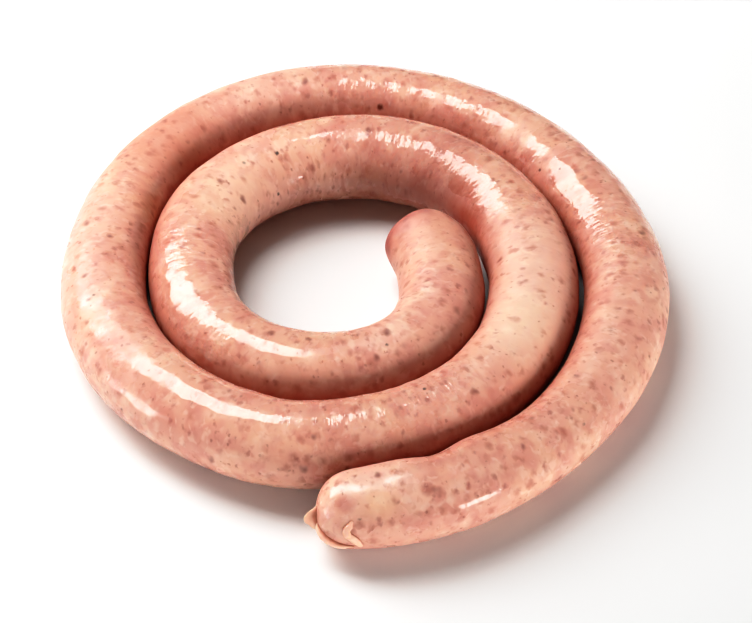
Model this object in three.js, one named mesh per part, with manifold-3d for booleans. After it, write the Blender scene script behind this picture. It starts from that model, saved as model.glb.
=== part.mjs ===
// A long fresh sausage in one piece, lying flat in a coil of a little over two turns.
// Millimetres, +Z up. The coil rests on the plane z = 0, and the origin is under the middle of its outline.

import * as THREE from 'three';
import { mergeVertices } from 'three/addons/utils/BufferGeometryUtils.js';
import Module from 'manifold-3d';

// Stuffed casing: a natural casing holds a soft filling, about 32 mm across
const CASING_RADIUS = 15.8;
const SAG_SHARE = 0.03; // the section is wider than a circle by this share, and lower by as much
const PRESSED = 0.8; // how far the soft underside is flattened on the table
const TURN_GAP = 0.4; // slit left between turns that lie against each other
const CONTACT_BLEND = 1.2; // how gradually a side flattens against its neighbour

// Coil seen from above: turn 0 is at +X, and the turns run clockwise and outwards
const INNER_END_TURN = -0.122;
const OUTER_END_TURN = 2.261;
const EYE_RADIUS = 42.2; // from the coil's centre to the centre line, at turn 0
const TURN_PITCH = 32.6;

// Where the hand-laid coil strays from the even spiral: outwards by so many mm, about a turn
const STRAYS = [
  { turn: -0.14, spread: 0.05, out: 2.6 },
  { turn: 0.01, spread: 0.106, out: -5.0 },
  { turn: 0.5, spread: 0.07, out: -2.4 },
  { turn: 0.82, spread: 0.09, out: -0.4 },
  { turn: 1.05, spread: 0.127, out: -2.7 },
  { turn: 1.29, spread: 0.035, out: 1.4 },
  { turn: 1.53, spread: 0.073, out: -2.6 },
  { turn: 1.73, spread: 0.058, out: 1.1 },
  { turn: 1.92, spread: 0.054, out: -1.6 },
  { turn: 2.15, spread: 0.125, out: -2.7 },
  { turn: 2.28, spread: 0.045, out: -3.2 },
];

// Where the filling is fuller or slacker: radius changed by so many mm, about a turn
const SWELLS = [
  { turn: -0.08, spread: 0.04, out: 0.5 },
  { turn: 0.31, spread: 0.075, out: 0.2 },
  { turn: 0.8, spread: 0.115, out: 1.1 },
  { turn: 1.05, spread: 0.105, out: 0.4 },
  { turn: 1.59, spread: 0.09, out: -0.4 },
  { turn: 1.88, spread: 0.104, out: -0.8 },
  { turn: 2.13, spread: 0.064, out: -2.0 },
  { turn: 2.29, spread: 0.06, out: -3.1 },
];

// Lumps and dents in one side only: around is in degrees from the outward side over the top, reach in mm
const LUMPS = [
  { turn: -0.115, around: 155, reach: 10, out: 0.9 },
  { turn: -0.105, around: 35, reach: 12, out: -2.8 },
  { turn: 2.195, around: 140, reach: 8, out: -1.3 },
  { turn: 2.17, around: 140, reach: 9, out: 0.8 },
  { turn: 2.22, around: 140, reach: 10, out: 0.6 },
];

// Rounded ends, as lengths along the sausage
const INNER_DOME = 13;
const OUTER_DOME = 13;
const INNER_BLUNTNESS = 2.6; // 2 is an ellipse, and more is squarer
const INNER_LEAN = 3.2; // how much further the inner end reaches on its side towards the coil's centre
const OUTER_BLUNTNESS = 2.3;

// Cut edge of the casing on the outer end: two raised strips, each along a few places on the end.
// back is mm from the tip, around as for the lumps, and proud is how far the strip stands out.
const LIP_WIDTH = 2.4;
const LIP_END_WIDTH = 0.9;
const LIP_ROOT = 1.0; // depth of a strip inside the sausage
const LIP_RIM = [
  { back: 0.8, around: 62, proud: 0.8 },
  { back: 0.8, around: 26, proud: 4.4 },
  { back: 1.8, around: 2, proud: 2.8 },
  { back: 4.2, around: -8, proud: 2.8 },
  { back: 8.5, around: -12, proud: 2.2 },
  { back: 13.0, around: -13, proud: 0.5 },
];
const LIP_FRILL = [
  { back: 12.2, around: 58, proud: 0.3 },
  { back: 11.2, around: 42, proud: 1.6 },
  { back: 10.2, around: 25, proud: 1.5 },
  { back: 12.5, around: 11, proud: 1.7 },
  { back: 15.5, around: -3, proud: 1.0 },
];

// Facets
const LIP_STEPS = 12;
const LIP_SIDES = 8;
const SIDES = 24;
const RING_SPACING = 7.2;
const DOME_RINGS = 6;
const WALK_STEP = 0.0005; // turns, for measuring the centre line
const MERGE_DISTANCE = 1e-4; // corners of facets nearer than this are one corner

const TAU = 2 * Math.PI;

function sumOfBumps(bumps, turn) {
  return bumps.reduce((sum, b) => sum + b.out * Math.exp(-(((turn - b.turn) / b.spread) ** 2)), 0);
}

function centreRadius(turn) {
  return EYE_RADIUS + TURN_PITCH * turn + sumOfBumps(STRAYS, turn);
}

function casingRadius(turn) {
  return CASING_RADIUS + sumOfBumps(SWELLS, turn);
}

// How far the skin stands out at a place, for the lumps that lie within reach of it
function lumpAt(turn, around) {
  const mmPerTurn = TAU * centreRadius(turn);
  const mmPerRadian = casingRadius(turn);
  let out = 0;
  for (const lump of LUMPS) {
    const alongBy = (turn - lump.turn) * mmPerTurn;
    const turned = around - THREE.MathUtils.degToRad(lump.around);
    const aroundBy = Math.atan2(Math.sin(turned), Math.cos(turned)) * mmPerRadian;
    out += lump.out * Math.exp(-(alongBy ** 2 + aroundBy ** 2) / lump.reach ** 2);
  }
  return out;
}

function centrePoint(turn) {
  const angle = -TAU * turn;
  return new THREE.Vector2(Math.cos(angle), Math.sin(angle)).multiplyScalar(centreRadius(turn));
}

// The centre line measured from the inner end, so that rings are spaced evenly in mm
function measureCentreLine() {
  const stations = [{ turn: INNER_END_TURN, along: 0 }];
  let last = centrePoint(INNER_END_TURN);
  let along = 0;
  for (let turn = INNER_END_TURN + WALK_STEP; turn < OUTER_END_TURN; turn += WALK_STEP) {
    const point = centrePoint(turn);
    along += point.distanceTo(last);
    stations.push({ turn, along });
    last = point;
  }
  return stations;
}

const stations = measureCentreLine();
const LENGTH = stations.at(-1).along;

function turnAt(along) {
  let low = 0;
  let high = stations.length - 1;
  while (high - low > 1) {
    const middle = (low + high) >> 1;
    if (stations[middle].along > along) high = middle;
    else low = middle;
  }
  const a = stations[low];
  const b = stations[high];
  return a.turn + ((b.turn - a.turn) * (along - a.along)) / (b.along - a.along);
}

// Radius of a dome of unit radius and depth, at a depth from its tip
function domeProfile(depth, bluntness) {
  return Math.max(0, 1 - (1 - depth) ** bluntness) ** (1 / bluntness);
}

// Share of the full radius at a place along the sausage: 1 between the domes, 0 at each tip
function fullness(along) {
  if (along < INNER_DOME) return domeProfile(along / INNER_DOME, INNER_BLUNTNESS);
  if (along > LENGTH - OUTER_DOME) return domeProfile((LENGTH - along) / OUTER_DOME, OUTER_BLUNTNESS);
  return 1;
}

// Joins a shape's facets at their shared corners, so that it is one closed surface
function closedShell(geometry) {
  geometry.deleteAttribute('normal');
  geometry.deleteAttribute('uv');
  return mergeVertices(geometry, MERGE_DISTANCE);
}

// Moves the inner dome's tip off its axis, towards the coil's centre
function leanInnerEnd(geometry) {
  const position = geometry.getAttribute('position');
  for (let i = 0; i < position.count; i++) {
    const along = position.getY(i);
    const share = Math.max(0, 1 - along / INNER_DOME);
    position.setY(i, along + INNER_LEAN * position.getX(i) * share);
  }
  return geometry;
}

// The sausage before it is coiled: a straight lathe about Y, one unit in radius, from tip to tip
function straightSausage() {
  const profile = [new THREE.Vector2(0, 0)];
  for (let i = 1; i <= DOME_RINGS; i++) {
    profile.push(new THREE.Vector2(1, INNER_DOME * (1 - Math.cos(((Math.PI / 2) * i) / DOME_RINGS))));
  }
  const body = LENGTH - INNER_DOME - OUTER_DOME;
  const rings = Math.round(body / RING_SPACING);
  for (let i = 1; i < rings; i++) {
    profile.push(new THREE.Vector2(1, INNER_DOME + (body * i) / rings));
  }
  for (let i = DOME_RINGS; i >= 1; i--) {
    const back = OUTER_DOME * (1 - Math.cos(((Math.PI / 2) * i) / DOME_RINGS));
    profile.push(new THREE.Vector2(1, LENGTH - back));
  }
  profile.push(new THREE.Vector2(0, LENGTH));
  for (const point of profile) point.x *= fullness(point.y);
  profile.reverse(); // a clockwise coil mirrors the lathe, and this keeps its faces outwards
  return leanInnerEnd(closedShell(new THREE.LatheGeometry(profile, SIDES)));
}

function smoothMin(a, b, blend) {
  const share = THREE.MathUtils.clamp(0.5 + (0.5 * (b - a)) / blend, 0, 1);
  return THREE.MathUtils.lerp(b, a, share) - blend * share * (1 - share);
}

// Distance from the coil's centre to the line where a turn meets the next one out
function meetingRadius(turn) {
  const inner = centreRadius(turn);
  const outer = centreRadius(turn + 1);
  const share = casingRadius(turn) / (casingRadius(turn) + casingRadius(turn + 1));
  return inner + (outer - inner) * share;
}

// Flattens a point's side against the turns that lie next to it
function pressAgainstNeighbours(point, turn) {
  const distance = Math.hypot(point.x, point.y);
  const bearing = -Math.atan2(point.y, point.x) / TAU;
  const ownTurn = bearing + Math.round(turn - bearing);
  let pressed = distance;
  if (ownTurn + 1 < OUTER_END_TURN) {
    pressed = smoothMin(pressed, meetingRadius(ownTurn) - TURN_GAP / 2, CONTACT_BLEND);
  }
  if (ownTurn - 1 > INNER_END_TURN) {
    pressed = -smoothMin(-pressed, -meetingRadius(ownTurn - 1) - TURN_GAP / 2, CONTACT_BLEND);
  }
  point.x *= pressed / distance;
  point.y *= pressed / distance;
}

// Takes a point of the straight sausage to its place in the coil
function coilPoint(point) {
  const turn = turnAt(point.y);
  const radius = casingRadius(turn) + lumpAt(turn, Math.atan2(point.z, point.x));
  const centre = centrePoint(turn);
  const ahead = centrePoint(turn + WALK_STEP).sub(centrePoint(turn - WALK_STEP)).normalize();
  const outwards = new THREE.Vector2(-ahead.y, ahead.x);
  const across = point.x * radius * (1 + SAG_SHARE);
  const height = point.z * radius * (1 - SAG_SHARE);
  const axisHeight = casingRadius(turn) * (1 - SAG_SHARE) - PRESSED;
  point.set(centre.x + outwards.x * across, centre.y + outwards.y * across, 0);
  pressAgainstNeighbours(point, turn);
  point.z = Math.max(0, axisHeight + height);
}

function coil(geometry) {
  const position = geometry.getAttribute('position');
  const point = new THREE.Vector3();
  for (let i = 0; i < position.count; i++) {
    point.fromBufferAttribute(position, i);
    coilPoint(point);
    position.setXYZ(i, point.x, point.y, point.z);
  }
  return geometry;
}

// A point on the skin of the outer end, by its distance back from the tip and its place around
function endPoint(back, around) {
  const along = LENGTH - back;
  const angle = THREE.MathUtils.degToRad(around);
  const share = fullness(along);
  const point = new THREE.Vector3(share * Math.cos(angle), along, share * Math.sin(angle));
  coilPoint(point);
  return point;
}

// One strip of the casing's cut edge: a round bar laid along the skin, flattened and rooted in it
function lipStrip(places) {
  const route = new THREE.CatmullRomCurve3(places.map((place) => endPoint(place.back, place.around)));
  const prouds = new THREE.SplineCurve(places.map((place, i) => new THREE.Vector2(i, place.proud)));
  const domeCentre = endPoint(OUTER_DOME, 90).add(endPoint(OUTER_DOME, -90)).multiplyScalar(0.5);
  const strip = closedShell(new THREE.CylinderGeometry(1, 1, 1, LIP_SIDES, LIP_STEPS));
  const position = strip.getAttribute('position');
  for (let i = 0; i < position.count; i++) {
    const share = position.getY(i) + 0.5;
    const onSkin = route.getPoint(share);
    const tangent = route.getTangent(share);
    const out = onSkin.clone().sub(domeCentre).normalize();
    const sideways = new THREE.Vector3().crossVectors(tangent, out).normalize();
    const width = THREE.MathUtils.lerp(LIP_END_WIDTH, LIP_WIDTH, Math.sin(Math.PI * share));
    const rise = position.getZ(i) > 0 ? prouds.getPoint(share).y : LIP_ROOT;
    onSkin.addScaledVector(sideways, (position.getX(i) * width) / 2);
    onSkin.addScaledVector(out, position.getZ(i) * rise);
    position.setXYZ(i, onSkin.x, onSkin.y, onSkin.z);
  }
  return strip;
}

const wasm = await Module();
wasm.setup();

function toSolid(geometry) {
  const vertProperties = new Float32Array(geometry.getAttribute('position').array);
  const triVerts = new Uint32Array(geometry.index.array);
  return new wasm.Manifold(new wasm.Mesh({ numProp: 3, vertProperties, triVerts }));
}

function toGeometry(solid) {
  const mesh = solid.getMesh();
  const geometry = new THREE.BufferGeometry();
  geometry.setAttribute('position', new THREE.BufferAttribute(mesh.vertProperties, 3));
  geometry.setIndex(new THREE.BufferAttribute(mesh.triVerts, 1));
  return geometry;
}

const filledCasing = toSolid(coil(straightSausage()));
const withLip = filledCasing.add(toSolid(lipStrip(LIP_RIM))).add(toSolid(lipStrip(LIP_FRILL)));
const sausageGeometry = toGeometry(withLip);
sausageGeometry.computeBoundingBox();
const middle = sausageGeometry.boundingBox.getCenter(new THREE.Vector3());
sausageGeometry.translate(-middle.x, -middle.y, -sausageGeometry.boundingBox.min.z);
sausageGeometry.computeVertexNormals();

const casingMaterial = new THREE.MeshStandardMaterial({ color: 0xe2ab93, roughness: 0.35, metalness: 0 });

const sausage = new THREE.Mesh(sausageGeometry, casingMaterial);
sausage.name = 'sausage';

const group = new THREE.Group();
group.add(sausage);

export default group;
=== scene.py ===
"""A long fresh sausage lying in a flat coil: its fine skin, its finish, the studio and the camera.

Lengths are in millimetres where a name or comment says so, and in metres elsewhere. +Z is up.
"""

import logging
import math
from dataclasses import dataclass, field
from enum import Enum

import bmesh
import bpy
import numpy as np
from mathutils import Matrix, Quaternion, Vector, noise

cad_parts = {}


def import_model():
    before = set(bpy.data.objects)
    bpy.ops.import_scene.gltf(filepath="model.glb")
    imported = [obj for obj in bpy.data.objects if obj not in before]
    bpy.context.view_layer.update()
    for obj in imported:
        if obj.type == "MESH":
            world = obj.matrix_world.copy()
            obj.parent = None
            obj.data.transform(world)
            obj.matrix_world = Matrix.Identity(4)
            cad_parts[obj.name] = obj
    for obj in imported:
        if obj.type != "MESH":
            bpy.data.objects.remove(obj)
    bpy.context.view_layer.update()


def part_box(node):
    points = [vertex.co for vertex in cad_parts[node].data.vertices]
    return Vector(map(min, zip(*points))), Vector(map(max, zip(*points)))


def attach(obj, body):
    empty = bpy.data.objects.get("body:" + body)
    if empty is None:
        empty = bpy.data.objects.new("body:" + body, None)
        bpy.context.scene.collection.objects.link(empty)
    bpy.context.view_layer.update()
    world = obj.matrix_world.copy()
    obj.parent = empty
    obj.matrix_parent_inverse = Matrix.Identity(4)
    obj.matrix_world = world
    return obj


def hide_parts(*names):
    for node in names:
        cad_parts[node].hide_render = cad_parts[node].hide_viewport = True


Tree = bpy.types.NodeTree
Socket = bpy.types.NodeSocket
Array = np.ndarray

LOG = logging.getLogger("coiled_sausage")
MM = 0.001  # metres in a millimetre
TAU = 2 * math.pi
TINY = 1e-6  # keeps a divisor off zero


def linear(hex_code: str) -> tuple[float, float, float, float]:
    """Turn an sRGB colour into the linear one that shaders use.

    Args:
        hex_code: six hex digits, such as "e2ab93".

    Returns:
        Linear red, green and blue, and an alpha of 1.
    """
    shares = [int(hex_code[i : i + 2], 16) / 255 for i in (0, 2, 4)]
    bent = [s / 12.92 if s <= 0.04045 else ((s + 0.055) / 1.055) ** 2.4 for s in shares]
    return (*bent, 1.0)


def add(tree: Tree, kind: str, inputs: dict | None = None, **settings) -> bpy.types.Node:
    """Add a node with its settings, values and links.

    Args:
        tree: the node tree to add to.
        kind: the node's type name.
        inputs: values, or sockets to link from, by the input's identifier.
        settings: attributes to set on the node.

    Returns:
        The new node.
    """
    node = tree.nodes.new(kind)
    for name, value in settings.items():
        setattr(node, name, value)
    sockets = {socket.identifier: socket for socket in node.inputs}
    for name, value in (inputs or {}).items():
        if isinstance(value, Socket):
            tree.links.new(value, sockets[name])
        else:
            sockets[name].default_value = value
    return node


def laid_over(tree: Tree, below: Socket | tuple[float, ...], amount: Socket, colour: str) -> Socket:
    """Lay one colour over another.

    Args:
        tree: the material's node tree.
        below: the colour underneath.
        amount: how much of the new colour shows.
        colour: the new colour as hex.

    Returns:
        The mixed colour.
    """
    inputs = {"Factor_Float": amount, "A_Color": below, "B_Color": linear(colour)}
    mixed = add(tree, "ShaderNodeMix", inputs, data_type="RGBA")
    return next(socket for socket in mixed.outputs if socket.identifier == "Result_Color")


def placed(name: str, data: bpy.types.ID) -> bpy.types.Object:
    """Make an object and put it in the scene."""
    made = bpy.data.objects.new(name, data)
    bpy.context.scene.collection.objects.link(made)
    return made


def smooth_min(a: Array, b: Array, blend: float) -> Array:
    """Take the smaller of two values, rounded off where they are alike.

    Args:
        a: first values.
        b: second values.
        blend: how far apart they are where the rounding starts.

    Returns:
        The rounded minimum.
    """
    share = np.clip(0.5 + 0.5 * (b - a) / blend, 0, 1)
    return b + (a - b) * share - blend * share * (1 - share)


def through(values: list[float], shares: Array) -> Array:
    """Run a smooth curve through evenly spaced values.

    Args:
        values: the values that the curve passes through.
        shares: places along the curve, from 0 to 1.

    Returns:
        The curve's value at each share.
    """
    padded = np.array([2 * values[0] - values[1], *values, 2 * values[-1] - values[-2]])
    place = np.clip(shares, 0, 1) * (len(values) - 1)
    span = np.minimum(place.astype(int), len(values) - 2)
    t = place - span
    before, start, end, after = (padded[span + i] for i in range(4))
    bend = 2 * before - 5 * start + 4 * end - after
    twist = 3 * (start - end) + after - before
    return 0.5 * (2 * start + (end - before) * t + bend * t**2 + twist * t**3)


@dataclass(frozen=True)
class Bump:
    """A change about one place along the coil.

    Attributes:
        turn: where it is, in turns.
        spread: how far it reaches, in turns.
        out: how large it is, in mm or as a share.
    """

    turn: float
    spread: float
    out: float


@dataclass(frozen=True)
class Lump:
    """A lump or dent in one side of the sausage.

    Attributes:
        turn: where it is, in turns.
        around: degrees from the outward side over the top.
        reach: how far it reaches, in mm.
        out: how far it stands out, in mm, or how large it is as a share.
    """

    turn: float
    around: float
    reach: float
    out: float


@dataclass(frozen=True)
class Coil:
    """The coil that the sausage lies in, in mm from the coil's centre.

    Turn 0 is at +X, and the turns run clockwise and outwards.
    """

    casing_radius: float = 15.8
    sag_share: float = 0.03  # its own weight makes it wider and lower by this share
    pressed: float = 0.8  # mm of its underside that the table flattens
    turn_gap: float = 0.1  # the solid keeps more, so that it stays one skin
    contact_blend: float = 0.9  # mm over which a side bends into its flattened part
    inner_end: float = -0.122
    outer_end: float = 2.261
    eye_radius: float = 42.2
    turn_pitch: float = 32.6
    walk_step: float = 0.0005
    groove_reach: float = 15.0  # mm from the neighbour at which a groove's painted shade starts
    groove_fade: float = 0.03  # turns over which a groove's painted shade runs out at an end
    groove_curve: float = 1.1  # above 1, the painted shade gathers deeper in the groove
    groove_fill: float = 1.25  # above 1, the painted shade is full for some way up from the table
    groove_height: float = 1.7  # casing radii over which the painted shade thins out upwards
    end_reach: float = 13.0  # mm from an end over which it presses less on its neighbour
    end_give: float = 3.2  # mm less at the very end
    strays: tuple[Bump, ...] = (
        Bump(-0.14, 0.05, 2.6),
        Bump(0.01, 0.106, -5.0),
        Bump(0.5, 0.07, -2.4),
        Bump(0.82, 0.09, -0.4),
        Bump(1.05, 0.127, -2.7),
        Bump(1.29, 0.035, 1.4),
        Bump(1.53, 0.073, -2.6),
        Bump(1.73, 0.058, 1.1),
        Bump(1.92, 0.054, -1.6),
        Bump(2.15, 0.125, -2.7),
        Bump(2.28, 0.045, -3.2),
    )
    swells: tuple[Bump, ...] = (
        Bump(-0.08, 0.04, 0.5),
        Bump(0.31, 0.075, 0.2),
        Bump(0.8, 0.115, 1.1),
        Bump(1.05, 0.105, 0.4),
        Bump(1.59, 0.09, -0.4),
        Bump(1.88, 0.104, -0.8),
        Bump(2.13, 0.064, -2.0),
        Bump(2.29, 0.06, -3.1),
    )
    lumps: tuple[Lump, ...] = (
        Lump(-0.115, 155, 10, 0.9),
        Lump(-0.105, 35, 12, -2.8),
        Lump(0.965, 178, 14, 1.3),
        Lump(1.03, 178, 16, 0.9),
        Lump(2.195, 140, 8, -1.3),
        Lump(2.17, 140, 9, 0.8),
        Lump(2.22, 140, 10, 0.6),
    )

    def summed(self, bumps: tuple[Bump, ...], turn: Array) -> Array:
        """Add up what the bumps do at each turn.

        Args:
            bumps: the bumps to add.
            turn: places along the coil.

        Returns:
            The sum at each place, in the bumps' own measure.
        """
        return sum(b.out * np.exp(-(((turn - b.turn) / b.spread) ** 2)) for b in bumps)

    def centre_radius(self, turn: Array) -> Array:
        """Give the centre line's distance from the coil's centre at each turn."""
        return self.eye_radius + self.turn_pitch * turn + self.summed(self.strays, turn)

    def radius(self, turn: Array) -> Array:
        """Give the casing's radius at each turn."""
        return self.casing_radius + self.summed(self.swells, turn)

    def centre_point(self, turn: Array) -> Array:
        """Give the centre line's X and Y at each turn."""
        angle = -TAU * turn
        return self.centre_radius(turn)[:, None] * np.stack([np.cos(angle), np.sin(angle)], -1)

    def stations(self) -> tuple[Array, Array]:
        """Measure the centre line.

        Returns:
            Turns, and the length along the sausage at each of them. It starts a little before the
            inner end, whose tip leans past the end of the centre line.
        """
        spare = 20
        inside = int((self.outer_end - self.inner_end) / self.walk_step)
        turns = self.inner_end + self.walk_step * np.arange(-spare, inside + spare)
        steps = np.linalg.norm(np.diff(self.centre_point(turns), axis=0), axis=1)
        along = np.concatenate([[0.0], np.cumsum(steps)])
        return turns, along - along[spare]

    def straight_place(self, turn: float, around: float) -> tuple[float, float, float]:
        """Find a place of the skin on the straight sausage.

        Args:
            turn: where it is along the coil.
            around: degrees from the outward side over the top.

        Returns:
            The place in mm.
        """
        turns, along = self.stations()
        angle = math.radians(around)
        radius = self.casing_radius
        return radius * math.cos(angle), float(np.interp(turn, turns, along)), radius * math.sin(angle)

    def length(self) -> float:
        """Give the sausage's length along its centre line."""
        turns, along = self.stations()
        return float(np.interp(self.outer_end, turns, along))

    def lumps_at(self, lumps: tuple[Lump, ...], turn: Array, around: Array) -> Array:
        """Add up what one-sided lumps do at each place.

        Args:
            lumps: the lumps to add.
            turn: places along the coil.
            around: angles from the outward side over the top, in radians.

        Returns:
            The sum at each place, in the lumps' own measure.
        """
        out = np.zeros_like(turn)
        for lump in lumps:
            along_by = (turn - lump.turn) * TAU * self.centre_radius(turn)
            turned = around - math.radians(lump.around)
            around_by = np.arctan2(np.sin(turned), np.cos(turned)) * self.radius(turn)
            out += lump.out * np.exp(-(along_by**2 + around_by**2) / lump.reach**2)
        return out

    def meeting_radius(self, turn: Array) -> Array:
        """Give the distance from the centre to where a turn meets the next one out."""
        inner, outer = self.centre_radius(turn), self.centre_radius(turn + 1)
        share = self.radius(turn) / (self.radius(turn) + self.radius(turn + 1))
        return inner + (outer - inner) * share

    def give(self, before_end: Array, turn: Array) -> Array:
        """Find how much less a side is flattened beside the rounded end of its neighbour.

        Args:
            before_end: turns left before the neighbour's end.
            turn: the neighbour's place along the coil.

        Returns:
            Millimetres less, down to 0 beside the neighbour's full thickness.
        """
        left = np.clip(before_end * TAU * self.centre_radius(turn) / self.end_reach, 0, 1)
        return self.end_give * (1 - left) ** 2

    def polar(self, places: Array, turn: Array) -> tuple[Array, Array]:
        """Give each point's distance from the coil's centre, and the exact turn at its bearing."""
        bearing = -np.arctan2(places[:, 1], places[:, 0]) / TAU
        return np.hypot(places[:, 0], places[:, 1]), bearing + np.round(turn - bearing)

    def press(self, places: Array, turn: Array) -> Array:
        """Flatten the sides that lie against a neighbouring turn.

        Args:
            places: X and Y of each point.
            turn: the turn that each point belongs to.

        Returns:
            X and Y after pressing.
        """
        distance, own = self.polar(places, turn)
        half_gap = self.turn_gap / 2
        limit = self.meeting_radius(own) - half_gap + self.give(self.outer_end - own - 1, own + 1)
        outside = smooth_min(distance, limit, self.contact_blend)
        pressed = np.where(own + 1 < self.outer_end, outside, distance)
        limit = self.give(own - 1 - self.inner_end, own - 1) - self.meeting_radius(own - 1) - half_gap
        inside = -smooth_min(-pressed, limit, self.contact_blend)
        pressed = np.where(own - 1 > self.inner_end, inside, pressed)
        return places * (pressed / distance)[:, None]

    def shelter(self, places: Array, turn: Array, height: Array) -> Array:
        """Find how deep the skin lies in the groove beside a neighbouring turn, for painted shade and
        rougher skin.

        Args:
            places: X and Y of each point.
            turn: the turn that each point belongs to.
            height: each point's mm above the table.

        Returns:
            1 where it touches the neighbour, and down to 0 out of the groove.
        """
        distance, own = self.polar(places, turn)
        outwards = (self.meeting_radius(own) - distance) / self.groove_reach
        inwards = (distance - self.meeting_radius(own - 1)) / self.groove_reach
        before_outer_end = np.clip((self.outer_end - own - 1) / self.groove_fade, 0, 1)
        after_inner_end = np.clip((own - 1 - self.inner_end) / self.groove_fade, 0, 1)
        near_outer = (1 - np.clip(outwards, 0, 1)) ** self.groove_curve * before_outer_end
        near_inner = (1 - np.clip(inwards, 0, 1)) ** self.groove_curve * after_inner_end
        low = np.clip(self.groove_fill - height / (self.groove_height * self.casing_radius), 0, 1)
        return np.maximum(near_outer, near_inner) * low

    def lay(self, straight: Array, relief: Array) -> Array:
        """Take points of the straight sausage to their place in the coil.

        Args:
            straight: points with X and Z as shares of the radius, and Y as mm from the inner end.
            relief: how far the skin stands out at each point, in mm.

        Returns:
            The points in mm from the coil's centre, on the table at height 0.
        """
        turns, along = self.stations()
        turn = np.interp(straight[:, 1], along, turns)
        around = np.arctan2(straight[:, 2], straight[:, 0])
        radius = self.radius(turn) + self.lumps_at(self.lumps, turn, around) + relief
        ahead = self.centre_point(turn + self.walk_step) - self.centre_point(turn - self.walk_step)
        ahead /= np.linalg.norm(ahead, axis=1, keepdims=True)
        outwards = np.stack([-ahead[:, 1], ahead[:, 0]], -1)
        across = straight[:, 0] * radius * (1 + self.sag_share)
        places = self.press(self.centre_point(turn) + outwards * across[:, None], turn)
        axis_height = self.radius(turn) * (1 - self.sag_share) - self.pressed
        height = axis_height + straight[:, 2] * radius * (1 - self.sag_share)
        return np.column_stack([places, np.maximum(height, 0)])


@dataclass(frozen=True)
class Ends:
    """The two rounded ends, with lengths in mm."""

    inner_dome: float = 13.0
    outer_dome: float = 13.0
    inner_bluntness: float = 2.6
    outer_bluntness: float = 2.3
    inner_lean: float = 3.2

    def fullness(self, along: Array, length: float) -> Array:
        """Find the share of the full radius along the sausage.

        Args:
            along: mm from the inner end.
            length: the sausage's length in mm.

        Returns:
            1 between the domes, and down to 0 at each tip.
        """
        near = np.clip(1 - along / self.inner_dome, 0, 1)
        far = np.clip(1 - (length - along) / self.outer_dome, 0, 1)
        inner = (1 - near**self.inner_bluntness) ** (1 / self.inner_bluntness)
        outer = (1 - far**self.outer_bluntness) ** (1 / self.outer_bluntness)
        return np.minimum(inner, outer)

    def lean(self, straight: Array) -> Array:
        """Move the inner tip off its axis, towards the coil's centre."""
        leaned = straight.copy()
        share = np.clip(1 - straight[:, 1] / self.inner_dome, 0, 1)
        leaned[:, 1] += self.inner_lean * straight[:, 0] * share
        return leaned


class Pattern(Enum):
    """The names of the mesh attributes that the finishes read."""

    STRAIGHT = "straight"
    SHELTER = "shelter"
    DRYNESS = "dryness"
    EDGE = "edge"


@dataclass(frozen=True)
class Speck:
    """One spot of colour: a piece of cracked pepper, a patch of darker lean or paler fat, or painted light
    or shade.

    Attributes:
        turn: where it is, in turns.
        around: degrees from the outward side over the top.
        size: mm across.
        colour: sRGB hex.
        strength: how strongly it shows.
        core: the share of its size that shows fully, before it fades.
    """

    turn: float
    around: float
    size: float
    colour: str = "2a1f1c"
    strength: float = 0.9
    core: float = 0.45


@dataclass(frozen=True)
class Fleck:
    """One kind of fleck in the filling, as it shows through the casing.

    Attributes:
        colour: sRGB hex.
        spacing: mm between flecks.
        size: the fleck's radius as a share of the spacing.
        softness: how gradually its edge fades, as a share of the spacing.
        share: how many of the places hold a fleck.
        strength: how strongly it shows.
        ragged: how far noise pulls its outline about, in mm.
    """

    colour: str
    spacing: float
    size: float
    softness: float
    share: float
    strength: float
    ragged: float


@dataclass(frozen=True)
class Cloud:
    """A soft patch of another colour in the filling.

    Attributes:
        colour: sRGB hex.
        size: mm across.
        start: the noise value where it starts to show.
        full: the noise value where it shows fully.
        strength: how strongly it shows.
    """

    colour: str
    size: float
    start: float
    full: float
    strength: float


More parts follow.
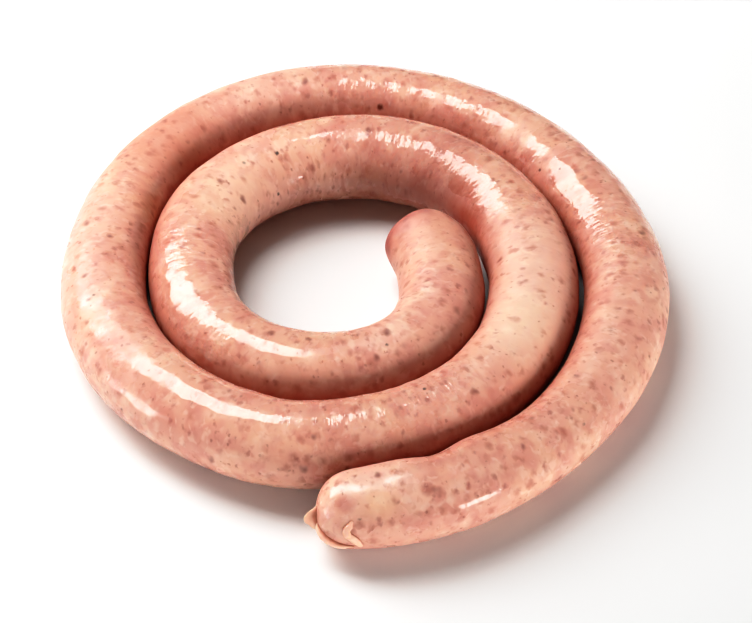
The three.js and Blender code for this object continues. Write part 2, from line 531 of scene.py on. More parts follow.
@dataclass(frozen=True)
class FilledCasing:
    """Natural hog casing over coarse pork filling, fresh from the filler and wet.

    The casing is thin and clear, so the eye sees through it to pink lean, cream fat and pepper
    pressed against it, all soft at their edges. Its wet skin gives bright white reflections with
    ragged edges. Light goes about a mm into the meat and comes out redder.
    """

    coil: Coil = field(default_factory=Coil)
    base: str = "dcaa98"
    clouds: tuple[Cloud, ...] = (
        Cloud("e3b69e", 24.0, 0.42, 0.62, 0.6),
        Cloud("d09688", 15.0, 0.47, 0.66, 0.6),
        Cloud("ecc7b3", 8.5, 0.5, 0.7, 0.5),
        Cloud("c98c7f", 6.0, 0.48, 0.7, 0.45),
        Cloud("efcfbe", 3.4, 0.54, 0.76, 0.4),
        Cloud("bd7b6f", 2.4, 0.56, 0.8, 0.4),
    )
    flecks: tuple[Fleck, ...] = (
        Fleck("a8624f", 4.6, 0.24, 0.34, 0.6, 0.55, 1.3),
        Fleck("97524a", 3.0, 0.24, 0.3, 0.3, 0.5, 0.9),
        Fleck("7c3c32", 8.0, 0.14, 0.16, 0.4, 0.7, 1.6),
        Fleck("8a4b3c", 1.9, 0.22, 0.2, 0.16, 0.5, 0.5),
        Fleck("4b3a2a", 15.0, 0.05, 0.05, 0.35, 0.75, 0.6),
    )
    painted_groove_shade: str = "b44019"  # painted shade, dark red, where turns press together
    # larger areas of paler fat or darker lean; three dark red ones are painted shade and three pale ones
    # painted light
    patches: tuple[Speck, ...] = (
        Speck(-0.112, 150, 26.0, "bf6e60", 0.35, 0.2),
        Speck(-0.075, 175, 12.0, "b9604f", 0.35, 0.2),
        Speck(-0.08, 90, 42.0, "c98773", 0.35, 0.4),
        Speck(-0.1, 150, 10.0, "9c4a48", 0.65, 0.2),
        Speck(-0.1, 118, 8.0, "9c4a48", 0.6, 0.2),
        Speck(-0.085, 165, 8.0, "9c4a48", 0.6, 0.2),
        Speck(-0.095, 90, 6.0, "a8605c", 0.6, 0.2),
        Speck(-0.075, 130, 6.0, "a8605c", 0.5, 0.2),
        Speck(-0.08, 55, 6.0, "b06a60", 0.45, 0.3),
        # painted shade: these three darken the ring's side behind the middle, where shade falls
        Speck(0.86, 160, 32.0, "8a2a10", 0.6, 0.1),
        Speck(0.79, 172, 32.0, "8a2a10", 0.5, 0.1),
        Speck(0.9, 170, 24.0, "8a2a10", 0.5, 0.1),
        Speck(1.62, 90, 46.0, "cb8b74", 0.65, 0.4),
        # painted light: these three pale patches brighten sides where more light falls
        Speck(1.04, 90, 62.0, "ecc7b4", 0.45, 0.3),
        Speck(1.085, 75, 30.0, "f1d1b9", 0.5, 0.3),
        Speck(0.6, 140, 32.0, "efcab4", 0.6, 0.3),
        Speck(1.62, 165, 20.0, "b0603f", 0.4, 0.2),
        Speck(1.56, 150, 16.0, "d99a62", 0.35, 0.2),
        Speck(0.93, 160, 15.0, "a9503c", 0.45, 0.2),
        Speck(2.235, 100, 30.0, "f1cdbb", 0.5, 0.3),
        Speck(2.247, 58, 6.0, "b2645a", 0.5, 0.3),
        Speck(2.232, 55, 11.0, "e9bf96", 0.35, 0.2),
        Speck(2.209, 62, 4.0, "9c4f42", 0.55, 0.3),
    )
    specks: tuple[Speck, ...] = (
        Speck(1.777, 140, 2.6),
        Speck(0.68, 108, 1.6),
        Speck(0.199, 76, 1.5),
        Speck(2.121, 47, 1.6),
        Speck(1.46, 74, 1.5),
        Speck(1.387, 8, 1.4),
        Speck(1.421, 43, 1.3),
        Speck(2.241, 38, 1.5),
        Speck(1.59, 63, 1.4),
        Speck(1.943, 74, 1.2),
        Speck(1.186, 99, 1.3),
        Speck(1.941, 170, 1.5),
        Speck(1.908, 136, 1.2),
        Speck(0.662, 162, 1.3),
        Speck(1.919, 115, 1.2),
    )
    wet_roughness: float = 0.055
    dry_roughness: float = 0.5
    wet_patch: float = 7.0  # mm across
    unevenness: float = 1.1  # how strongly wet and dry patches differ
    wet_below: float = 0.57  # patches and dryness together, where the skin is fully wet
    dry_above: float = 1.05
    ior: float = 1.52  # collagen
    glow: float = 0.3  # share of the light that goes into the filling
    glow_reach: tuple[float, float, float] = (1.0, 0.35, 0.2)  # red light goes farthest
    depth: float = 0.0012  # metres that light travels in the filling
    drawn_round: tuple[float, float, float] = (0.82, 1.1, 0.82)  # filling is dragged round as it goes in
    cloud_shift: float = 37.0  # mm, so that no two kinds of cloud lie alike
    fleck_shift: float = 53.0  # mm
    ragged: float = 0.5  # how far noise pulls a spot's outline about, in mm
    ragged_size: float = 1.6  # mm
    wrinkle_spacing: float = 1.1  # mm between the folds that run around the sausage
    wrinkle_length: float = 0.16  # the smaller, the longer a fold
    wrinkle_height: float = 0.00012  # metres
    dimple_size: float = 5.0  # mm
    dimple_height: float = 0.0005  # metres
    slack_size: float = 30.0  # mm across of the stretches where the casing is slack
    slack_range: tuple[float, float] = (0.4, 0.62)  # noise values from tight to slack
    tight: float = 0.15  # share of the wrinkles left where the casing is tight

    def build(self) -> bpy.types.Material:
        """Make the material.

        Returns:
            The new material.
        """
        material = bpy.data.materials.new("filled_natural_casing")
        material.use_nodes = True
        tree = material.node_tree
        shader = tree.nodes["Principled BSDF"]
        shader.inputs["IOR"].default_value = self.ior
        shader.inputs["Subsurface Weight"].default_value = self.glow
        shader.inputs["Subsurface Radius"].default_value = self.glow_reach
        shader.inputs["Subsurface Scale"].default_value = self.depth
        place = add(tree, "ShaderNodeAttribute", attribute_name=Pattern.STRAIGHT.value).outputs["Vector"]
        in_mm = add(tree, "ShaderNodeVectorMath", {"Vector": place, "Scale": 1 / MM}, operation="SCALE")
        in_mm = in_mm.outputs["Vector"]
        tree.links.new(self.colour(tree, in_mm), shader.inputs["Base Color"])
        tree.links.new(self.gloss(tree, in_mm), shader.inputs["Roughness"])
        tree.links.new(self.wrinkles(tree, in_mm), shader.inputs["Normal"])
        return material

    def gloss(self, tree: Tree, in_mm: Socket) -> Socket:
        """Work out how rough the skin is, from wet stretches to drier ones.

        Args:
            tree: the material's node tree.
            in_mm: places on the straight sausage, in mm.

        Returns:
            The roughness.
        """
        dryness = add(tree, "ShaderNodeAttribute", attribute_name=Pattern.DRYNESS.value).outputs["Fac"]
        inputs = {"Vector": in_mm, "Scale": 1 / self.wet_patch, "Detail": 3.0}
        patches = add(tree, "ShaderNodeTexNoise", inputs).outputs["Fac"]
        inputs = {"Value": patches, "Value_001": self.unevenness, "Value_002": dryness}
        uneven = add(tree, "ShaderNodeMath", inputs, operation="MULTIPLY_ADD").outputs["Value"]
        inputs = {
            "Value": uneven,
            "From Min": self.wet_below,
            "From Max": self.dry_above,
            "To Min": self.wet_roughness,
            "To Max": self.dry_roughness,
        }
        return add(tree, "ShaderNodeMapRange", inputs, interpolation_type="SMOOTHSTEP").outputs["Result"]

    def pull(self, tree: Tree, in_mm: Socket, reach: float, size: float) -> Socket:
        """Pull places about by noise, so that round shapes turn ragged.

        Args:
            tree: the material's node tree.
            in_mm: places on the straight sausage, in mm.
            reach: how far a place moves, in mm.
            size: mm across of the noise.

        Returns:
            The moved places.
        """
        noise_node = add(tree, "ShaderNodeTexNoise", {"Vector": in_mm, "Scale": 1 / size, "Detail": 1.0})
        moved = add(
            tree,
            "ShaderNodeVectorMath",
            {"Vector": noise_node.outputs["Color"], "Vector_001": (reach * 2,) * 3, "Vector_002": in_mm},
            operation="MULTIPLY_ADD",
        )
        return moved.outputs["Vector"]

    def spots(self, tree: Tree, below: Socket, in_mm: Socket, specks: tuple[Speck, ...]) -> Socket:
        """Lay single spots over a colour.

        Args:
            tree: the material's node tree.
            below: the colour underneath.
            in_mm: places on the straight sausage, in mm.
            specks: the spots.

        Returns:
            The mixed colour.
        """
        colour = below
        for speck in specks:
            inputs = {"Vector": in_mm, "Vector_001": self.coil.straight_place(speck.turn, speck.around)}
            away = add(tree, "ShaderNodeVectorMath", inputs, operation="DISTANCE").outputs["Value"]
            inputs = {
                "Value": away,
                "From Min": speck.size * speck.core / 2,
                "From Max": speck.size * (1 - speck.core / 2),
                "To Min": speck.strength,
                "To Max": 0.0,
            }
            spot = add(tree, "ShaderNodeMapRange", inputs, interpolation_type="SMOOTHSTEP")
            colour = laid_over(tree, colour, spot.outputs["Result"], speck.colour)
        return colour

    def colour(self, tree: Tree, in_mm: Socket) -> Socket:
        """Mix the filling's colours as they show through the casing, and lay painted shade and light over
        them.

        Args:
            tree: the material's node tree.
            in_mm: places on the straight sausage, in mm.

        Returns:
            The colour.
        """
        plain = add(tree, "ShaderNodeRGB")
        colour = plain.outputs["Color"]
        colour.default_value = linear(self.base)
        for number, cloud in enumerate(self.clouds):
            shift = (self.cloud_shift * number, 0, 0)
            inputs = {"Vector": in_mm, "Location": shift, "Scale": self.drawn_round}
            apart = add(tree, "ShaderNodeMapping", inputs)
            inputs = {
                "Vector": apart.outputs["Vector"],
                "Scale": 1 / cloud.size,
                "Detail": 1.5,
                "Distortion": 0.5,
            }
            patch = add(tree, "ShaderNodeTexNoise", inputs)
            inputs = {
                "Value": patch.outputs["Fac"],
                "From Min": cloud.start,
                "From Max": cloud.full,
                "To Max": cloud.strength,
            }
            amount = add(tree, "ShaderNodeMapRange", inputs, interpolation_type="SMOOTHSTEP")
            colour = laid_over(tree, colour, amount.outputs["Result"], cloud.colour)
        ragged_mm = self.pull(tree, in_mm, self.ragged, self.ragged_size)
        colour = self.spots(tree, colour, ragged_mm, self.patches)
        for number, fleck in enumerate(self.flecks):
            shift = (0, 0, self.fleck_shift * number)
            inputs = {"Vector": in_mm, "Location": shift, "Scale": self.drawn_round}
            apart = add(tree, "ShaderNodeMapping", inputs)
            ragged = self.pull(tree, apart.outputs["Vector"], fleck.ragged, fleck.spacing / 2)
            cells = add(tree, "ShaderNodeTexVoronoi", {"Vector": ragged, "Scale": 1 / fleck.spacing})
            chosen = add(tree, "ShaderNodeSeparateColor", {"Color": cells.outputs["Color"]}).outputs["Red"]
            inputs = {"Value": chosen, "From Min": 1 - fleck.share, "To Max": fleck.size}
            reach = add(tree, "ShaderNodeMapRange", inputs).outputs["Result"]
            inputs = {"Value": reach, "Value_001": cells.outputs["Distance"]}
            edge = add(tree, "ShaderNodeMath", inputs, operation="SUBTRACT")
            inputs = {
                "Value": edge.outputs["Value"],
                "From Min": -fleck.softness,
                "From Max": fleck.softness / 2,
                "To Max": fleck.strength,
            }
            spot = add(tree, "ShaderNodeMapRange", inputs, interpolation_type="SMOOTHSTEP")
            inputs = {"Value": chosen, "Value_001": 1 - fleck.share}
            some = add(tree, "ShaderNodeMath", inputs, operation="GREATER_THAN")
            inputs = {"Value": spot.outputs["Result"], "Value_001": some.outputs["Value"]}
            amount = add(tree, "ShaderNodeMath", inputs, operation="MULTIPLY")
            colour = laid_over(tree, colour, amount.outputs["Value"], fleck.colour)
        colour = self.spots(tree, colour, ragged_mm, self.specks)
        shelter = add(tree, "ShaderNodeAttribute", attribute_name=Pattern.SHELTER.value).outputs["Fac"]
        # painted shade: the deeper the skin lies in a groove, the darker and redder its colour
        return laid_over(tree, colour, shelter, self.painted_groove_shade)

    def wrinkles(self, tree: Tree, in_mm: Socket) -> Socket:
        """Make the casing's fine folds, which run around the sausage.

        Args:
            tree: the material's node tree.
            in_mm: places on the straight sausage, in mm.

        Returns:
            The bent normal.
        """
        stretch = (self.wrinkle_length, 1 / self.wrinkle_spacing, self.wrinkle_length)
        squeezed = add(tree, "ShaderNodeMapping", {"Vector": in_mm, "Scale": stretch})
        inputs = {"Vector": squeezed.outputs["Vector"], "Scale": 1.0, "Detail": 2.0}
        folds = add(tree, "ShaderNodeTexNoise", inputs)
        inputs = {"Vector": in_mm, "Scale": 1 / self.slack_size, "Detail": 0.0}
        region = add(tree, "ShaderNodeTexNoise", inputs)
        inputs = {
            "Value": region.outputs["Fac"],
            "From Min": self.slack_range[0],
            "From Max": self.slack_range[1],
            "To Min": self.tight,
        }
        slack = add(tree, "ShaderNodeMapRange", inputs).outputs["Result"]
        inputs = {"Vector": in_mm, "Scale": 1 / self.dimple_size, "Detail": 2.0}
        dimples = add(tree, "ShaderNodeTexNoise", inputs)
        inputs = {"Height": dimples.outputs["Fac"], "Strength": slack, "Distance": self.dimple_height}
        dimple_bump = add(tree, "ShaderNodeBump", inputs).outputs["Normal"]
        inputs = {
            "Height": folds.outputs["Fac"],
            "Strength": slack,
            "Distance": self.wrinkle_height,
            "Normal": dimple_bump,
        }
        return add(tree, "ShaderNodeBump", inputs).outputs["Normal"]


@dataclass
class Skin:
    """The sausage's outer skin, as one closed mesh in place of the plain solid."""

    coil: Coil = field(default_factory=Coil)
    ends: Ends = field(default_factory=Ends)
    sides: int = 96
    ring_spacing: float = 1.2  # mm
    dome_rings: int = 16
    join: float = 1e-5  # how near two corners are when they become one
    drier: tuple[Bump, ...] = (
        Bump(-0.03, 0.12, 0.9),
        Bump(0.2, 0.1, 0.4),
        Bump(0.66, 0.08, 0.6),
        Bump(1.08, 0.12, 0.5),
        Bump(1.45, 0.08, 0.35),
        Bump(1.64, 0.1, 0.9),
        Bump(1.876, 0.008, 0.6),
        Bump(1.906, 0.004, 0.5),
        Bump(2.05, 0.06, 0.6),
        Bump(0.99, 0.045, 0.5),
        Bump(0.9, 0.025, -0.8),
        Bump(1.816, 0.004, 0.5),
        Bump(1.845, 0.015, -0.3),
        Bump(1.893, 0.005, -0.3),
        Bump(1.945, 0.025, -0.5),
        Bump(2.235, 0.025, 0.4),
        Bump(0.83, 0.03, -0.2),
        Bump(0.7, 0.03, -0.4),
        Bump(1.775, 0.03, -0.6),
    )  # stretches where the skin has dried, by a share of 1
    matt_sides: tuple[Lump, ...] = (
        Lump(0.9, 158, 9, 1.0),
        Lump(0.86, 160, 10, 1.0),
        Lump(0.82, 165, 9, 0.8),
    )  # dry places on one side, by a share of 1
    groove_dryness: float = 1.2  # the grooves mirror no light
    relief_sizes: tuple[tuple[float, float], ...] = (
        (16.0, 0.32),
        (6.0, 0.14),
        (2.6, 0.06),
    )  # mm across and mm high
    relief_middle: float = -0.2  # mm, so that the highest places stay inside the solid's box
    offset: Array = field(default_factory=lambda: np.zeros(3))  # mm from origin to coil's centre

    def profile_steps(self) -> Array:
        """Space the rings, close together towards the tips.

        Returns:
            Each ring's mm from the inner end.
        """
        length = self.coil.length()
        rise = 1 - np.cos(np.linspace(0, math.pi / 2, self.dome_rings + 1))
        body_end = length - self.ends.outer_dome
        count = round((body_end - self.ends.inner_dome) / self.ring_spacing)
        body = np.linspace(self.ends.inner_dome, body_end, count + 1)
        inner = self.ends.inner_dome * rise[:-1]
        outer = length - self.ends.outer_dome * rise[-2::-1]
        return np.concatenate([inner, body, outer])

    def straight_mesh(self) -> bpy.types.Mesh:
        """Spin the profile about Y into the straight sausage, one unit in radius.

        Returns:
            The mesh, with Y in mm.
        """
        along = self.profile_steps()
        fullness = self.ends.fullness(along, self.coil.length())
        bm = bmesh.new()
        ends = [bm.verts.new((0, along[0], 0)), bm.verts.new((0, along[-1], 0))]
        bmesh.ops.subdivide_edges(bm, edges=[bm.edges.new(ends)], cuts=len(along) - 2)
        ordered = sorted(bm.verts, key=lambda vert: vert.co.y)
        for vert, share, place in zip(ordered, fullness, along):
            vert.co = (share, place, 0)
        geometry = bm.verts[:] + bm.edges[:]
        bmesh.ops.spin(
            bm, geom=geometry, cent=(0, 0, 0), axis=(0, 1, 0), angle=TAU, steps=self.sides, use_merge=True
        )
        bmesh.ops.remove_doubles(bm, verts=bm.verts, dist=self.join)
        mesh = bpy.data.meshes.new("sausage_skin")
        bm.to_mesh(mesh)
        bm.free()
        return mesh

    def relief(self, straight: Array) -> Array:
        """Work out the skin's small unevenness.

        Args:
            straight: points on the straight sausage, in mm.

        Returns:
            Millimetres outwards at each point.
        """
        out = np.full(len(straight), self.relief_middle)
        for size, height in self.relief_sizes:
            out += height * np.array([noise.noise(Vector(point)) for point in straight / size])
        return out

    def build(self) -> bpy.types.Object:
        """Make the skin, laid in its coil and set in the frame.

        Returns:
            The new object.
        """
        mesh = self.straight_mesh()
        unit = np.empty(len(mesh.vertices) * 3)
        mesh.vertices.foreach_get("co", unit)
        unit = unit.reshape(-1, 3)
        round_mm = unit * (self.coil.casing_radius, 1, self.coil.casing_radius)
        leaned = self.ends.lean(unit)
        smooth = self.coil.lay(leaned, np.zeros(len(unit)))
        laid = self.coil.lay(leaned, self.relief(round_mm))
        self.offset = self.find_offset(smooth)
        mesh.vertices.foreach_set("co", ((laid - self.offset) * MM).ravel())
        pattern = mesh.attributes.new(Pattern.STRAIGHT.value, "FLOAT_VECTOR", "POINT")
        pattern.data.foreach_set("vector", (round_mm * MM).ravel())
        turns, along = self.coil.stations()
        turn = np.interp(unit[:, 1], along, turns)
        # how deep each point lies in a groove: painted shade in the colour, and rougher skin
        sheltered = self.coil.shelter(smooth[:, :2], turn, smooth[:, 2])
        shelter = mesh.attributes.new(Pattern.SHELTER.value, "FLOAT", "POINT")
        shelter.data.foreach_set("value", sheltered)
        around = np.arctan2(unit[:, 2], unit[:, 0])
        drier = self.coil.summed(self.drier, turn) + self.coil.lumps_at(self.matt_sides, turn, around)
        dryness = mesh.attributes.new(Pattern.DRYNESS.value, "FLOAT", "POINT")
        dryness.data.foreach_set("value", drier + self.groove_dryness * sheltered)
        turn_faces_outwards(mesh)
        return placed("sausage_skin", mesh)

    def find_offset(self, smooth: Array) -> Array:
        """Find how far the coil's centre is from the frame's origin.

        Args:
            smooth: the skin's points before its unevenness, in mm from the coil's centre.

        Returns:
            Millimetres to take off each point, so that its left, right and back are the solid's.
        """
        low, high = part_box("sausage")
        middle_x = (smooth[:, 0].min() + smooth[:, 0].max()) / 2 - (low.x + high.x) / 2 / MM
        return np.array([middle_x, smooth[:, 1].max() - high.y / MM, 0])


@dataclass(frozen=True)
class Strip:
    """A raised strip of the casing's cut edge.

    Attributes:
        places: mm back from the tip, degrees around, and mm that the strip stands out, along it.
        width: mm across at its middle.
        end_width: mm across at its ends.
        curl: how far the edge turns over, as a share of how far it stands out.
    """

    places: tuple[tuple[float, float, float], ...]
    width: float
    end_width: float
    curl: float


@dataclass
class CasingLip:
    """The cut edge of the casing on the outer end: a curled ear, a rolled rim and a frill."""

    coil: Coil = field(default_factory=Coil)
    ends: Ends = field(default_factory=Ends)
    root: float = 1.0  # mm that a strip goes into the skin
    steps: int = 72
    sides: int = 20
    crumple: float = 0.22  # mm
    crumple_size: float = 1.6  # mm
    crumple_seed: int = 1795887324  # without it the clock picks another crumple in each run
    look_ahead: float = 0.01  # share of a strip's length, either way, that gives its direction
    ear: Strip = Strip(
        ((0.9, 70, 0.3), (0.8, 48, 2.6), (0.8, 26, 4.4), (1.2, 10, 3.0), (2.0, 0, 1.8)), 0.9, 0.6, 0.25
    )
    rim: Strip = Strip(
        ((1.2, 14, 0.5), (1.8, 2, 1.5), (4.2, -8, 1.7), (8.5, -12, 1.4), (13.0, -13, 0.4)), 2.6, 1.0, 0.15
    )
    frill: Strip = Strip(
        (
            (12.6, 35, 0.2),
            (11.8, 28, 0.7),
            (10.8, 20, 1.1),
            (11.2, 12, 1.2),
            (12.4, 7, 1.0),
            (13.6, 1, 1.2),
            (14.6, -6, 1.1),
            (15.2, -15, 0.5),
        ),
        3.2,
        2.2,
        -0.2,
    )

    def skin_points(self, back: Array, around: Array) -> Array:
        """Find points on the skin of the outer end.

        Args:
            back: mm from the tip.
            around: degrees from the outward side over the top.

        Returns:
            The points in mm from the coil's centre.
        """
        length = self.coil.length()
        share = self.ends.fullness(length - back, length)
        angle = np.radians(around)
        straight = np.stack([share * np.cos(angle), length - back, share * np.sin(angle)], -1)
        return self.coil.lay(straight, np.zeros(len(straight)))

    def strip(self, bm: bmesh.types.BMesh, shape: Strip) -> None:
        """Add one strip: a ball drawn out along the skin, flattened and rooted in it.

        Args:
            bm: the mesh to add to.
            shape: the strip.
        """
        made = bmesh.ops.create_uvsphere(bm, u_segments=self.sides, v_segments=self.steps, radius=1)
        unit = np.array([vert.co for vert in made["verts"]])
        share = (unit[:, 2] + 1) / 2
        across = np.hypot(unit[:, 0], unit[:, 1])
        fuller = np.sqrt(across) / np.maximum(across, TINY)
        side, up = unit[:, 0] * fuller, unit[:, 1] * fuller
        controls = np.array(shape.places)
        knots = self.skin_points(controls[:, 0], controls[:, 1])
        on_skin = np.stack([through(list(column), share) for column in knots.T], -1)
        ahead = np.stack([through(list(column), share + self.look_ahead) for column in knots.T], -1)
        behind = np.stack([through(list(column), share - self.look_ahead) for column in knots.T], -1)
        tangent = ahead - behind
        dome = self.skin_points(np.full(2, self.ends.outer_dome), np.array([90.0, -90.0])).mean(0)
        out = on_skin - dome
        out /= np.linalg.norm(out, axis=1, keepdims=True)
        sideways = np.cross(tangent, out)
        sideways /= np.linalg.norm(sideways, axis=1, keepdims=True)
        width = shape.end_width + (shape.width - shape.end_width) * np.sin(math.pi * share)
        proud = through(list(controls[:, 2]), share)
        rise = np.where(up > 0, proud * up, self.root * up)
        over = side * width / 2 + shape.curl * proud * np.clip(up, 0, 1) ** 2
        laid = on_skin + sideways * over[:, None] + out * rise[:, None]
        edge = bm.verts.layers.float[Pattern.EDGE.value]
        for vert, place, lift in zip(made["verts"], laid, up):
            crumpled = noise.noise_vector(Vector(place / self.crumple_size)) * self.crumple
            vert.co = (Vector(place) + crumpled) * MM
            vert[edge] = max(0.0, float(lift))

    def build(self, offset: Array) -> bpy.types.Object:
        """Make the cut edge.

        Args:
            offset: mm from the frame's origin to the coil's centre.

        Returns:
            The new object.
        """
        noise.seed_set(self.crumple_seed)
        bm = bmesh.new()
        bm.verts.layers.float.new(Pattern.EDGE.value)
        for shape in (self.ear, self.rim, self.frill):
            self.strip(bm, shape)
        bmesh.ops.translate(bm, verts=bm.verts, vec=Vector(-offset * MM))
        for vert in bm.verts:
            vert.co.z = max(vert.co.z, 0)
        mesh = bpy.data.meshes.new("casing_lip")
        bm.to_mesh(mesh)
        bm.free()
        turn_faces_outwards(mesh)
        return placed("casing_lip", mesh)


@dataclass(frozen=True)
class CutCasing:
    """The casing's cut edge, an empty fold of collagen skin with fat on it.

    With no meat behind it the skin is pale peach, waxy and a little see-through, and painted shade
    makes it orange-brown down in its folds.
    """

    edge: str = "f0c4ae"
    # painted shade, orange-brown, low in the folds at each strip's base
    fold: str = "bd765c"
    roughness: float = 0.32
    ior: float = 1.45
    glow: float = 0.4  # share of the light that goes into the skin
    glow_reach: tuple[float, float, float] = (1.0, 0.5, 0.25)
    depth: float = 0.0012  # metres that light travels in it
    mottle_size: float = 2.0  # mm
    mottling: float = 0.5  # how much the mottle adds to the height that picks the colour
    # lift with mottle at which the painted shade starts to give way, and where the edge colour is full
    fold_to_edge: tuple[float, float] = (0.2, 0.95)
    bump: float = 0.3  # strength
    bump_height: float = 0.0003  # metres

    def build(self) -> bpy.types.Material:
        """Make the material.

        Returns:
            The new material.
        """
        material = bpy.data.materials.new("cut_natural_casing")
        material.use_nodes = True
        tree = material.node_tree
        shader = tree.nodes["Principled BSDF"]
        shader.inputs["IOR"].default_value = self.ior
        shader.inputs["Roughness"].default_value = self.roughness
        shader.inputs["Subsurface Weight"].default_value = self.glow
        shader.inputs["Subsurface Radius"].default_value = self.glow_reach
        shader.inputs["Subsurface Scale"].default_value = self.depth
        lift = add(tree, "ShaderNodeAttribute", attribute_name=Pattern.EDGE.value).outputs["Fac"]
        place = add(tree, "ShaderNodeTexCoord").outputs["Object"]
        inputs = {"Vector": place, "Scale": 1 / (self.mottle_size * MM), "Detail": 2.0}
        mottle = add(tree, "ShaderNodeTexNoise", inputs)
        inputs = {"Value": mottle.outputs["Fac"], "Value_001": self.mottling, "Value_002": lift}
        amount = add(tree, "ShaderNodeMath", inputs, operation="MULTIPLY_ADD").outputs["Value"]
        low, high = self.fold_to_edge
        inputs = {"Value": amount, "From Min": low, "From Max": high}
        amount = add(tree, "ShaderNodeMapRange", inputs, interpolation_type="SMOOTHSTEP").outputs["Result"]
        # painted shade low on each strip, giving way to the skin's own pale colour towards its edge
        colour = laid_over(tree, linear(self.fold), amount, self.edge)
        tree.links.new(colour, shader.inputs["Base Color"])
        inputs = {"Height": mottle.outputs["Fac"], "Strength": self.bump, "Distance": self.bump_height}
        bump = add(tree, "ShaderNodeBump", inputs)
        tree.links.new(bump.outputs["Normal"], shader.inputs["Normal"])
        return material


def turn_faces_outwards(mesh: bpy.types.Mesh) -> None:
    """Point a closed mesh's faces outwards and shade them smooth.

    Args:
        mesh: the mesh to change.
    """
    bm = bmesh.new()
    bm.from_mesh(mesh)
    bmesh.ops.recalc_face_normals(bm, faces=bm.faces)
    for face in bm.faces:
        face.smooth = True
    bm.to_mesh(mesh)
    bm.free()


@dataclass(frozen=True)
class Softbox:
    """A soft studio light.

    Attributes:
        name: the light's name.
        azimuth: degrees from straight behind the object, to the right.
        elevation: degrees above the table.
        distance: metres from the object.
        width: metres.
        height: metres.
        radiance: how bright its face is, where 1 is a white table in full light.
        roll: degrees that it is turned about its own aim.
        mirrored: whether it shows in the wet skin, or is so softened that it doesn't.
    """

    name: str
    azimuth: float
    elevation: float
    distance: float
    width: float
    height: float
    radiance: float
    roll: float = 0.0
    mirrored: bool = True

    def build(self) -> None:
        """Hang the light and aim it at the object."""
        lamp = bpy.data.lights.new(self.name, "AREA")
        lamp.shape = "RECTANGLE"
        lamp.size = self.width
        lamp.size_y = self.height
        lamp.energy = self.radiance * math.pi * self.width * self.height
        light = placed(self.name, lamp)
        azimuth, elevation = math.radians(self.azimuth), math.radians(self.elevation)
        level = math.cos(elevation)
        away = Vector((math.sin(azimuth) * level, math.cos(azimuth) * level, math.sin(elevation)))
        light.location = away * self.distance
        facing = away.to_track_quat("Z", "Y")
        light.rotation_euler = (facing @ Quaternion((0, 0, 1), math.radians(self.roll))).to_euler()
        light.visible_camera = False
        light.visible_glossy = self.mirrored


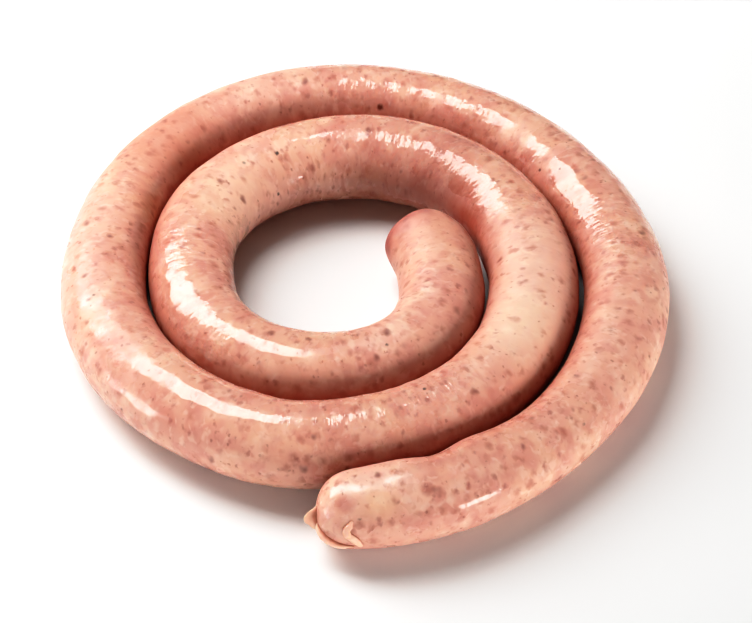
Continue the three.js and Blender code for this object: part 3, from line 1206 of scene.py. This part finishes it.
@dataclass(frozen=True)
class Studio:
    """A pale table, soft lights and the camera."""

    table_size: float = 12.0
    table_drop: float = 0.0002  # the table lies just under the sausage's flat underside
    table_colour: str = "f5f5f4"  # matt white laminate, too rough to mirror the lights
    table_roughness: float = 0.6
    fill: float = 0.05  # how bright the surroundings are, where 1 is a white table in full light
    aim: tuple[float, float, float] = (0.00435, 0.00217, 0.0)
    camera_elevation: float = 45.46
    camera_distance: float = 0.9832
    lens: float = 124.47  # mm
    sensor: float = 36.0  # mm wide
    tones: tuple[tuple[float, float], ...] = (
        (0.02, 0.006),
        (0.06, 0.026),
        (0.15, 0.09),
        (0.3, 0.225),
        (0.5, 0.46),
        (0.75, 0.78),
    )  # light in and light shown, for the deep shadows of a studio picture
    lights: tuple[Softbox, ...] = (
        Softbox("overhead_back", -15, 64, 1.4, 2.0, 1.5, 0.22),
        Softbox("key_back_left", -50, 49, 1.0, 0.5, 1.08, 8.6, 23),
        Softbox("side_left", -104, 7, 1.0, 0.42, 0.35, 7.2),
        Softbox("card_front_right", 133, 6, 4.0, 1.12, 1.04, 9.4),
        Softbox("low_fill_front", 158, 9, 4.0, 5.6, 1.0, 5.9, mirrored=False),
        Softbox("low_fill_right", 100, 9, 4.0, 3.6, 1.0, 5.7, mirrored=False),
    )

    def build(self) -> None:
        """Make the table, the lights, the surroundings and the camera."""
        self.table()
        for light in self.lights:
            light.build()
            LOG.info("light %s", light.name)
        self.surroundings()
        self.camera()

    def table(self) -> None:
        """Lay the table top under the sausage."""
        bm = bmesh.new()
        bmesh.ops.create_grid(bm, x_segments=1, y_segments=1, size=self.table_size / 2)
        bmesh.ops.translate(bm, verts=bm.verts, vec=(0, 0, -self.table_drop))
        mesh = bpy.data.meshes.new("table_top")
        bm.to_mesh(mesh)
        bm.free()
        material = bpy.data.materials.new("matt_white_table")
        material.use_nodes = True
        shader = material.node_tree.nodes["Principled BSDF"]
        shader.inputs["Base Color"].default_value = linear(self.table_colour)
        shader.inputs["Roughness"].default_value = self.table_roughness
        mesh.materials.append(material)
        table = placed("table_top", mesh)

    def surroundings(self) -> None:
        """Fill the shadows with plain white light from all round, and show colours plainly."""
        scene = bpy.context.scene
        world = bpy.data.worlds.new("white_studio")
        world.use_nodes = True
        background = world.node_tree.nodes["Background"]
        background.inputs["Color"].default_value = (1, 1, 1, 1)
        background.inputs["Strength"].default_value = self.fill
        scene.world = world
        scene.view_settings.view_transform = "Standard"
        scene.view_settings.look = "None"
        scene.view_settings.use_curve_mapping = True
        mapping = scene.view_settings.curve_mapping
        all_colours = mapping.curves[3]
        for light_in, shown in self.tones:
            all_colours.points.new(light_in, shown)
        mapping.update()

    def camera(self) -> None:
        """Set the camera in front of the coil, looking down on it."""
        lens = bpy.data.cameras.new("camera")
        lens.sensor_fit = "HORIZONTAL"
        lens.sensor_width = self.sensor
        lens.lens = self.lens
        camera = placed("camera", lens)
        elevation = math.radians(self.camera_elevation)
        back = Vector((0, -math.cos(elevation), math.sin(elevation)))
        camera.location = Vector(self.aim) + back * self.camera_distance
        camera.rotation_euler = back.to_track_quat("Z", "Y").to_euler()
        bpy.context.scene.camera = camera


def main() -> None:
    """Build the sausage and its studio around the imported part."""
    logging.basicConfig(level=logging.INFO, format="%(name)s: %(message)s")
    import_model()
    Studio().build()
    sausage = Skin()
    skin = sausage.build()
    skin.data.materials.append(FilledCasing().build())
    lip = CasingLip().build(sausage.offset)
    lip.data.materials.append(CutCasing().build())
    for piece in (skin, lip):
        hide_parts("sausage")
        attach(piece, "root")
        faces = len(piece.data.polygons)
        LOG.info("piece %s: %d vertices, %d faces", piece.name, len(piece.data.vertices), faces)


if __name__ == "__main__":
    main()
